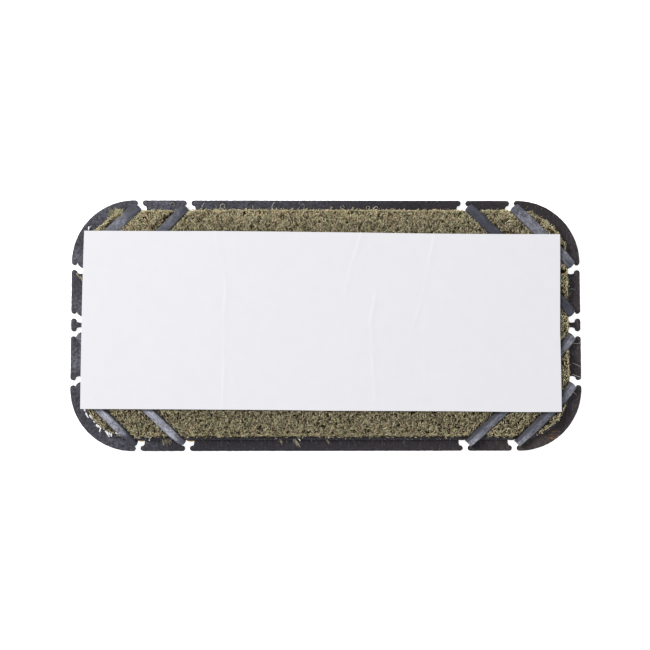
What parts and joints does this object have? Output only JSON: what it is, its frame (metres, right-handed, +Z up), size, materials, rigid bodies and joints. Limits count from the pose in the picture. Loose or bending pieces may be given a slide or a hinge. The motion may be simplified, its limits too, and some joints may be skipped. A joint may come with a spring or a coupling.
{
  "type": "door mat",
  "caption": "Rectangular door mat: curly tufted turf held on a rubber base by diagonal rubber bands hooked in keyhole notches round the rim, under a blank paper sheet.",
  "frame": {"origin": "on the floor under the middle of the mat", "axes": "+X along the long side to the right, +Y to the back edge, +Z up"},
  "size_m": [0.75, 0.37, 0.0194],
  "materials": {
    "base_rubber": "matte",
    "latex": "satin",
    "backing_weave": "matte",
    "pile_fibre": "matte",
    "band_rubber": "matte",
    "paper": "matte"
  },
  "bodies": {
    "mat": {"rubber_base": "base_rubber", "latex_coat": "latex", "woven_backing": "backing_weave", "pile": "pile_fibre", "band_back_left_outer": "band_rubber", "band_back_left_inner": "band_rubber", "band_back_right_outer": "band_rubber", "band_back_right_inner": "band_rubber", "band_front_left_outer": "band_rubber", "band_front_left_inner": "band_rubber", "band_front_right_outer": "band_rubber", "band_front_right_inner": "band_rubber"},
    "loose_sheet": {"cover_sheet": "paper"}
  },
  "joints": [
    {"name": "sheet_lift", "type": "slide", "parent": "mat", "child": "loose_sheet", "axis": [0, 0, 1], "range_m": [0, 0.15]}
  ]
}
